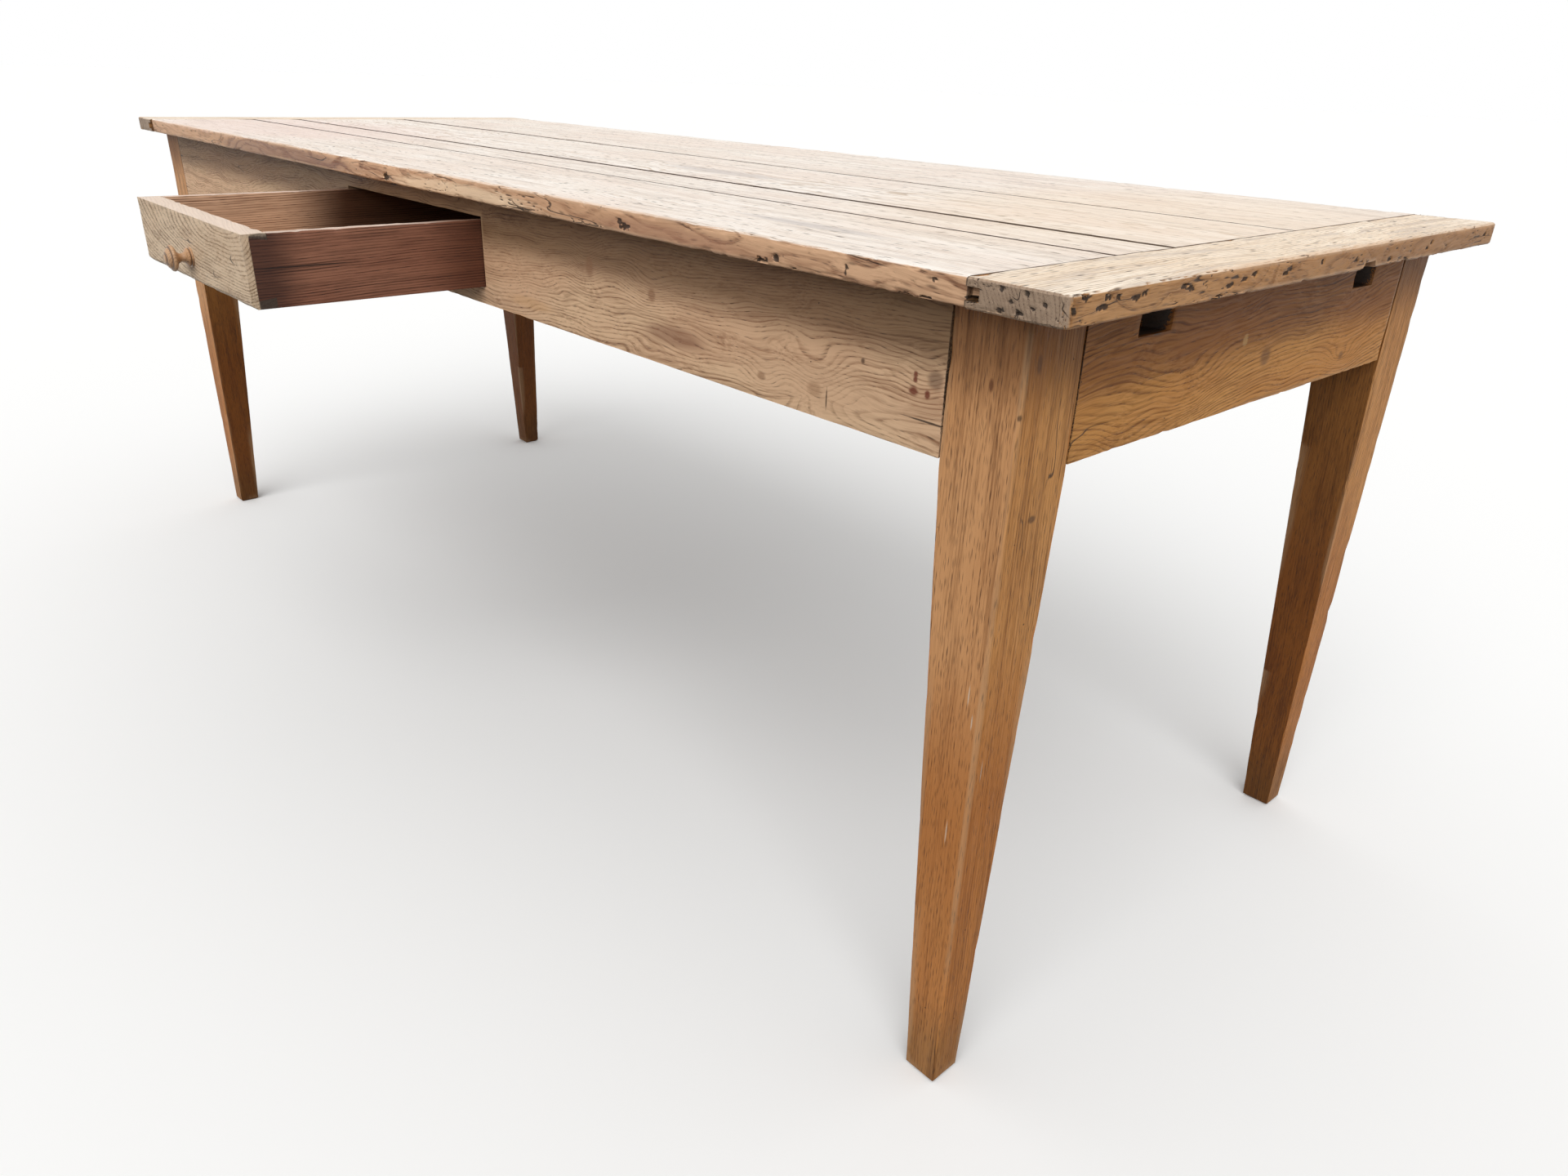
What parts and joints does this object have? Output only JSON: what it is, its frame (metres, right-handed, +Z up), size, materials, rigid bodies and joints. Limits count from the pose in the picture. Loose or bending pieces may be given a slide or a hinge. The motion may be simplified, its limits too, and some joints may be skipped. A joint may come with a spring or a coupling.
{
  "type": "farmhouse table",
  "caption": "Long oak farmhouse table: plank top with breadboard ends, square legs tapered on the inner faces, rails flush with the legs, and a dovetailed drawer in the front rail.",
  "frame": {"origin": "middle of the top's upper face; the floor is 0.76 m below it", "axes": "+Z up; +X along the table's length, towards the end whose rail shows its notches in the picture; -Y towards the drawer's side, the way the drawer opens"},
  "size_m": [2.09, 1.051, 0.76],
  "materials": {
    "top_oak": "bleached, worn smooth",
    "frame_oak": "waxed, worn",
    "inner_oak": "rough sawn",
    "drawer_front_oak": "waxed, worn",
    "drawer_side_oak": "dark with age",
    "knob_fruitwood": "turned, polished by hands",
    "iron": "dark"
  },
  "bodies": {
    "table": {"top_plank_front": "top_oak", "top_plank_second": "top_oak", "top_plank_third": "top_oak", "top_plank_back": "top_oak", "breadboard_left": "top_oak", "breadboard_right": "top_oak", "leg_front_left": "frame_oak", "leg_front_right": "frame_oak", "leg_back_right": "frame_oak", "leg_back_left": "frame_oak", "front_rail": "frame_oak", "back_rail": "frame_oak", "end_rail_right": "frame_oak", "end_rail_left": "frame_oak", "drawer_runner_left": "inner_oak", "drawer_runner_right": "inner_oak", "drawer_kicker_left": "inner_oak", "drawer_kicker_right": "inner_oak", "drawer_stop_left": "inner_oak", "drawer_stop_right": "inner_oak", "top_button_front_left": "inner_oak", "top_button_front_right": "inner_oak", "top_button_back_right": "inner_oak", "top_button_back_left": "inner_oak", "top_button_end_right": "inner_oak", "top_button_end_left": "inner_oak", "top_button_screws": "iron"},
    "drawer": {"drawer_front": "drawer_front_oak", "drawer_side_left": "drawer_side_oak", "drawer_side_right": "drawer_side_oak", "drawer_back": "inner_oak", "drawer_floor": "inner_oak", "drawer_knob": "knob_fruitwood", "drawer_floor_nails": "iron"}
  },
  "joints": [
    {"name": "drawer_slide", "type": "slide", "parent": "table", "child": "drawer", "axis": [0, -1, 0], "range_m": [-0.265, 0.11]}
  ]
}
